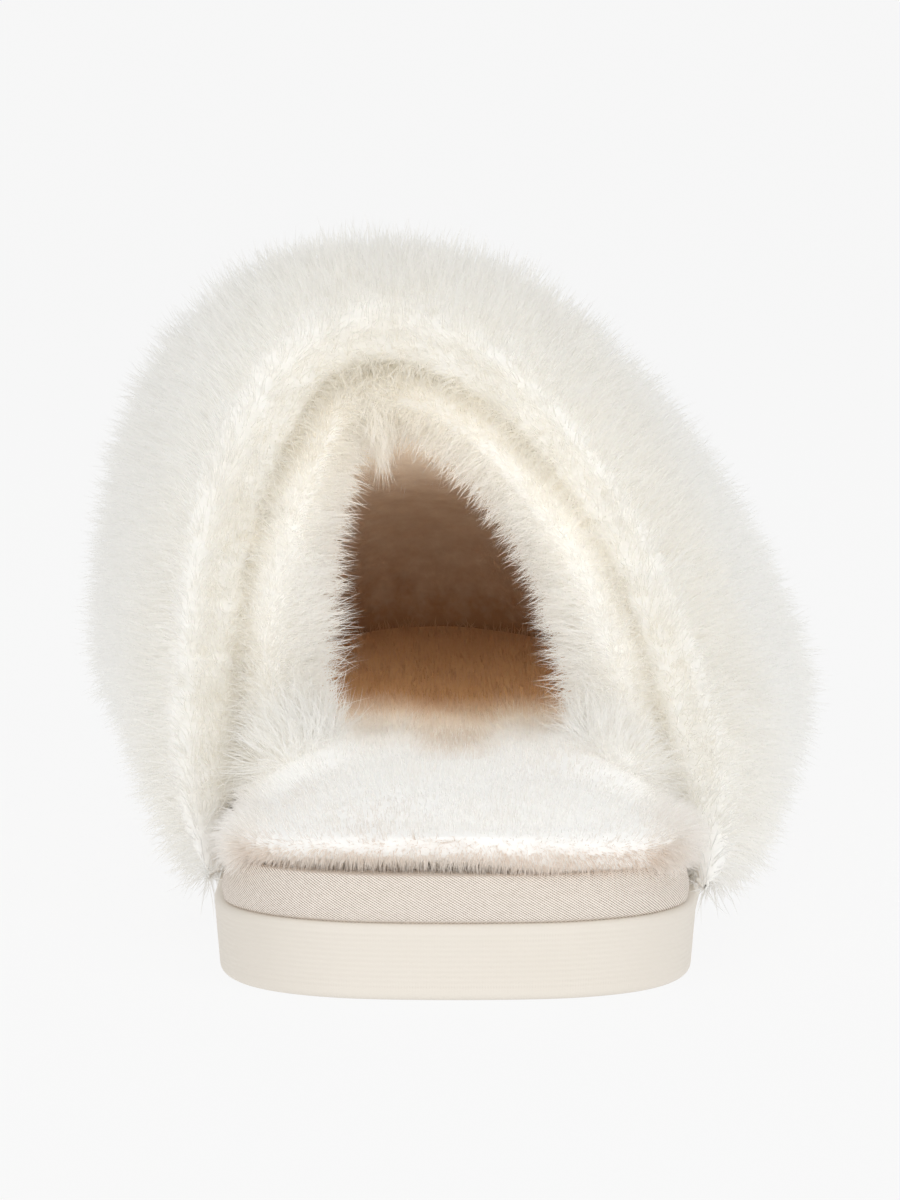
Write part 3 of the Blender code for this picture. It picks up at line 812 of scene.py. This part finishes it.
sink(fur, fur_depth, shown, cuff_tree, FUR_FILL)
fur.data.materials.append(skin_material("cream_fur_skin", CREAM_FUR, DEEP_FUR, SKIN_CLOUD))
middles = face_centres(fur.data)
back_first = np.where(middles[:, 1] < FUR_BACK_FROM, FUR_BACK_DENSITY, 1.0)
back_first *= 1 + near(middles, cuff_tree, VALLEY_REACH)
fur_pile = pile_material("cream_fur_pile", CREAM_FUR, DEEP_FUR, FUR_ROOT_SHADE)
for name, count, steps, long, thick in (
    ("outer_fur_under", FUR_UNDER, 2, UNDERFUR_LENGTH, UNDERFUR_WIDTH),
    ("outer_fur_guard", FUR_GUARD, 3, FUR_GUARD_LENGTH, GUARD_WIDTH),
):
    roots, facing = scatter(fur.data, count, rng, shown * back_first)
    valley = near(roots, cuff_tree, VALLEY_REACH)[:, None]
    close = near(roots, cuff_tree, SEAM_REACH)[:, None]
    to_seam = unit(np.array([cuff_tree.find_nearest(Vector(root))[0] for root in roots]) - roots)
    spread = unit((roots - FUR_MIDDLE) * np.array([1, 0, 1])) * FUR_SPREAD + FUR_SWEEP
    nap = along_surface(spread, facing) * (1 - valley)
    rise = facing * (1 - close) + off_seam(roots) * close
    lean = rise * FUR_STAND + nap * FUR_NAP + to_seam * OVER_SEAM * close
    lean += (FUR_SWIRL + VALLEY_RUFFLE * valley) * wander(roots, FUR_SWIRL_SIZE, rng)
    lean += (FUR_RUFFLE + VALLEY_RUFFLE * valley) * rng.normal(size=roots.shape)
    lean += gathered(roots, FUR_LOCK, rng) / FUR_LENGTH * FUR_GATHER
    # Painted shade: the fur deepens to a warm cream near the seam with the cuff, and more in the valley along
    # it.
    tone = FUR_TONE + FUR_NEAR_SEAM_SHADE * near(roots, cuff_tree, 2 * VALLEY_REACH)
    tone += FUR_FLECK * rng.normal(size=count) + VALLEY_SHADE * valley[:, 0]
    tone += (FUR_MOTTLE + VALLEY_MOTTLE * valley[:, 0]) * wander(roots, FUR_MOTTLE_SIZE, rng)[:, 0]
    length = FUR_LENGTH * long * rng.uniform(*STRAND_SPAN, count) * (1 + OVER_SEAM_LONGER * close[:, 0])
    start = rise + FUR_START_NAP * nap
    strands = grow_pile(
        name, roots - facing * FUR_ROOT, facing, start, lean, length, FUR_WIDTH * thick, tone, rng, steps
    )
    strands.data.materials.append(fur_pile)


# Cuff: a band of the same fur, sewn along the collar and turned in over its edge, so that it rolls into the
# opening. Its nap runs from the seam towards the opening, and it presses on the footbed at both ends.

CUFF_INSET = 0.0021
CUFF_FILL = 0.0028
CUFF_CREAM = (0.998, 0.993, 0.980)
CUFF_DEEP = (0.972, 0.938, 0.868)
CUFF_SKIN = (0.982, 0.958, 0.908)
CUFF_UNDER = 42000
CUFF_GUARD = 26000
CUFF_GUARD_LENGTH = 1.15
CUFF_LENGTH = 0.0066
CUFF_ROOT_SHADE = 0.99
CUFF_SEAM_TRIM = 0.3
CUFF_STAND = 0.6
CUFF_NAP = 0.6
CUFF_NAP_BACK = np.array([0, -0.15, 0])
CUFF_NAP_RISE = (0.6, -0.1)
CUFF_SWIRL = 0.22
CUFF_SWIRL_SIZE = 0.02
CUFF_VALLEY_SWIRL = 0.3
CUFF_RUFFLE = 0.22
CUFF_VALLEY_RUFFLE = 0.35
CUFF_TONE = 0.06
CUFF_VALLEY_SHADE = 0.15
CUFF_SEAM_SHADE = 0.2
CUFF_HIGH_SHADE = 0.35
CUFF_FLECK = 0.04
CUFF_MOTTLE = 0.1
CUFF_FULL_BELOW = 0.062
CUFF_FULLEST = 0.4
CUFF_FULLER = (1.6, 0.8)
CUFF_LOW_FROM = 0.046
CUFF_LOW_RUN = 0.014
CUFF_LOW_OUT = np.array([0.9, 0, 0])
CUFF_LOW_DROOP = np.array([0, -0.2, -0.3])
CUFF_HIGH_FROM = 0.066
CUFF_HIGH_RUN = 0.016
TUFT_AT = -0.0140
TUFT_WIDTH = 0.0030
TUFT_ABOVE = 0.080
TUFT_DROOP = np.array([0, 0, -1.0])
TUFT_LONGER = 0.8
OPENING_MIDDLE = np.array([-0.005, 0.0, 0.050])

cuff = as_piece("cuff_fur_skin", softened(flattened("cuff_fur"), 3, 8))
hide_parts("cuff_fur")
shown = open_triangles(cuff.data, packed_tree("upper", "insole", "midsole"), FUR_COVER)
fur_tree = packed_tree("upper_fur")
shown *= open_triangles(cuff.data, fur_tree, SEAM_COVER)
sink(cuff, lambda corners: CUFF_INSET, shown, packed_tree("upper_fur", "insole"), CUFF_FILL)
cuff.data.materials.append(skin_material("cream_cuff_skin", CUFF_CREAM, CUFF_SKIN, SKIN_CLOUD))
cuff_pile = pile_material("cream_cuff_pile", CUFF_CREAM, CUFF_DEEP, CUFF_ROOT_SHADE)
for name, count, steps, long, thick in (
    ("cuff_fur_under", CUFF_UNDER, 2, UNDERFUR_LENGTH, UNDERFUR_WIDTH),
    ("cuff_fur_guard", CUFF_GUARD, 3, CUFF_GUARD_LENGTH, GUARD_WIDTH),
):
    roots, facing = scatter(cuff.data, count, rng, shown)
    valley = near(roots, fur_tree, VALLEY_REACH)[:, None]
    close = near(roots, fur_tree, SEAM_REACH)[:, None]
    inward = unit((OPENING_MIDDLE - roots) * np.array([1, 0, 1]))
    swirl = np.where(inward[:, 0] > 0, *CUFF_NAP_RISE)[:, None] * np.array([0, 0, 1])
    nap = along_surface(inward + swirl + CUFF_NAP_BACK, facing) * (1 - valley)
    tuft = np.exp(-(((roots[:, 0] - TUFT_AT) / TUFT_WIDTH) ** 2)) * (roots[:, 2] > TUFT_ABOVE)
    rise = facing * (1 - close) + off_seam(roots) * close
    lean = rise * CUFF_STAND + nap * CUFF_NAP
    low = np.clip((CUFF_LOW_FROM - roots[:, 2]) / CUFF_LOW_RUN, 0, 1)
    lean += low[:, None] * (np.sign(roots[:, :1]) * CUFF_LOW_OUT + CUFF_LOW_DROOP)
    lean += (CUFF_SWIRL + CUFF_VALLEY_SWIRL * valley) * wander(roots, CUFF_SWIRL_SIZE, rng)
    lean += tuft[:, None] * TUFT_DROOP
    lean += (CUFF_RUFFLE + CUFF_VALLEY_RUFFLE * valley) * rng.normal(size=roots.shape)
    lean += gathered(roots, FUR_LOCK, rng) / CUFF_LENGTH * FUR_GATHER
    high = np.clip((roots[:, 2] - CUFF_HIGH_FROM) / CUFF_HIGH_RUN, 0, 1)
    # Painted shade: the cuff deepens in the valley and at the seam with the outer fur, and towards its top at
    # the opening's apex.
    tone = CUFF_TONE + CUFF_VALLEY_SHADE * valley[:, 0] + CUFF_SEAM_SHADE * close[:, 0] + CUFF_HIGH_SHADE * high
    tone += CUFF_FLECK * rng.normal(size=count) + CUFF_MOTTLE * wander(roots, FUR_MOTTLE_SIZE, rng)[:, 0]
    fuller = np.clip((CUFF_FULL_BELOW - roots[:, 2]) / CUFF_FULL_BELOW, 0, CUFF_FULLEST)
    fuller *= np.where(roots[:, 0] < 0, *CUFF_FULLER)
    length = CUFF_LENGTH * long * rng.uniform(*STRAND_SPAN, count)
    length *= (1 + fuller + TUFT_LONGER * tuft) * (1 - CUFF_SEAM_TRIM * close[:, 0])
    start = rise + FUR_START_NAP * nap
    strands = grow_pile(
        name, roots - facing * FUR_ROOT, facing, start, lean, length, FUR_WIDTH * thick, tone, rng, steps
    )
    strands.data.materials.append(cuff_pile)


# Floor: a pale board that turns up far behind the slipper, lit so evenly that it hardly takes a shadow.

FLOOR_WIDTH = 12.0
FLOOR_FRONT = -4.0
FLOOR_BACK = 3.0
FLOOR_TURN = 1.5
FLOOR_TURN_STEPS = 12
FLOOR_TOP = 2.0
FLOOR_GLOW = 0.955
FLOOR_TAKES_LIGHT = 0.07

profile = [(FLOOR_FRONT, 0.0), (FLOOR_BACK, 0.0)]
for k in range(1, FLOOR_TURN_STEPS + 1):
    turn = math.pi / 2 * k / FLOOR_TURN_STEPS
    profile.append((FLOOR_BACK + FLOOR_TURN * math.sin(turn), FLOOR_TURN * (1 - math.cos(turn))))
profile.append((FLOOR_BACK + FLOOR_TURN, FLOOR_TOP))
board = bmesh.new()
bmesh.ops.create_grid(board, x_segments=1, y_segments=len(profile) - 1, size=0.5)
for vert in board.verts:
    y, z = profile[round((vert.co.y + 0.5) * (len(profile) - 1))]
    vert.co = (vert.co.x * FLOOR_WIDTH, y, z)
floor_mesh = bpy.data.meshes.new("floor")
board.to_mesh(floor_mesh)
board.free()
floor_mesh.shade_smooth()
floor = bpy.data.objects.new("floor", floor_mesh)
bpy.context.scene.collection.objects.link(floor)
floor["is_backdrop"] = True
floor_paint, add, wire = new_material("floor_paint", 0.9, 0.0)
floor_nodes = floor_paint.node_tree.nodes
floor_nodes["Principled BSDF"].inputs["Base Color"].default_value = (0.9, 0.9, 0.9, 1)
glow = add("ShaderNodeEmission", {"Color": (1, 1, 1, 1), "Strength": FLOOR_GLOW})
both = add(
    "ShaderNodeMixShader",
    {0: FLOOR_TAKES_LIGHT, 1: glow.outputs[0], 2: floor_nodes["Principled BSDF"].outputs[0]},
)
floor_paint.node_tree.links.new(both.outputs[0], floor_nodes["Material Output"].inputs["Surface"])
floor_mesh.materials.append(floor_paint)


# Light: a bright even room with three large soft lamps, one on each side of the camera and one overhead. A
# narrow lamp shines down into the opening, and a small one inside brightens the lining.

ROOM_LIGHT = 0.51
LAMP_AIM = Vector((0, 0, 0.05))
SNOOT_PLACE = Vector((0.10, -0.85, 0.70))
SNOOT_AIM = Vector((-0.002, 0.006, 0.030))
SNOOT_CONE = math.radians(2.8)
SNOOT_POWER = 15.0
SNOOT_SIZE = 0.02

room = bpy.data.worlds.new("room")
room.use_nodes = True
room.node_tree.nodes["Background"].inputs["Color"].default_value = (1, 1, 1, 1)
room.node_tree.nodes["Background"].inputs["Strength"].default_value = ROOM_LIGHT
bpy.context.scene.world = room
for name, power, width, height, place, aim in (
    ("left_lamp", 7.6, 1.2, 1.0, Vector((-1.13, -1.34, 0.52)), LAMP_AIM),
    ("right_lamp", 9.6, 1.2, 1.0, Vector((1.13, -1.34, 0.52)), LAMP_AIM),
    ("top_lamp", 10.0, 2.4, 2.4, Vector((0.0, -0.50, 2.00)), LAMP_AIM),
    ("inner_lamp", 0.0136, 0.036, 0.04, Vector((-0.003, 0.010, 0.0430)), Vector((-0.003, 0.030, 0.080))),
):
    lamp_data = bpy.data.lights.new(name, "AREA")
    lamp_data.shape = "ELLIPSE"
    lamp_data.size = width
    lamp_data.size_y = height
    lamp_data.energy = power
    lamp = bpy.data.objects.new(name, lamp_data)
    lamp.visible_camera = False
    lamp.location = place
    lamp.rotation_euler = (aim - place).to_track_quat("-Z", "Y").to_euler()
    bpy.context.scene.collection.objects.link(lamp)
snoot_data = bpy.data.lights.new("snoot", "SPOT")
snoot_data.energy = SNOOT_POWER
snoot_data.spot_size = SNOOT_CONE
snoot_data.spot_blend = 1.0
snoot_data.shadow_soft_size = SNOOT_SIZE
snoot = bpy.data.objects.new("snoot", snoot_data)
snoot.location = SNOOT_PLACE
snoot.rotation_euler = (SNOOT_AIM - SNOOT_PLACE).to_track_quat("-Z", "Y").to_euler()
bpy.context.scene.collection.objects.link(snoot)


# Camera: behind the heel and a little above it, on a long lens, as the slipper is shown.

CAMERA_DISTANCE = 0.850
CAMERA_PITCH = math.radians(10.0)
CAMERA_DIP = math.radians(6.11)
CAMERA_LENS = 160.0
HEEL_DEPTH = 0.035
CAMERA_SIDE = -0.0008

camera_data = bpy.data.cameras.new("camera")
camera_data.lens = CAMERA_LENS
camera_data.sensor_width = 36.0
camera = bpy.data.objects.new("camera", camera_data)
camera.location = (
    CAMERA_SIDE,
    outsole_low.y + HEEL_DEPTH - CAMERA_DISTANCE * math.cos(CAMERA_PITCH),
    CAMERA_DISTANCE * math.sin(CAMERA_PITCH),
)
camera.rotation_euler = (math.pi / 2 - CAMERA_DIP, 0, 0)
bpy.context.scene.collection.objects.link(camera)
bpy.context.scene.camera = camera
bpy.context.scene.view_settings.view_transform = "Standard"
bpy.context.scene.cycles.diffuse_bounces = 8
bpy.context.scene.cycles.transmission_bounces = 8


# The box of the dressed slipper, without the floor.

low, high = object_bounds()
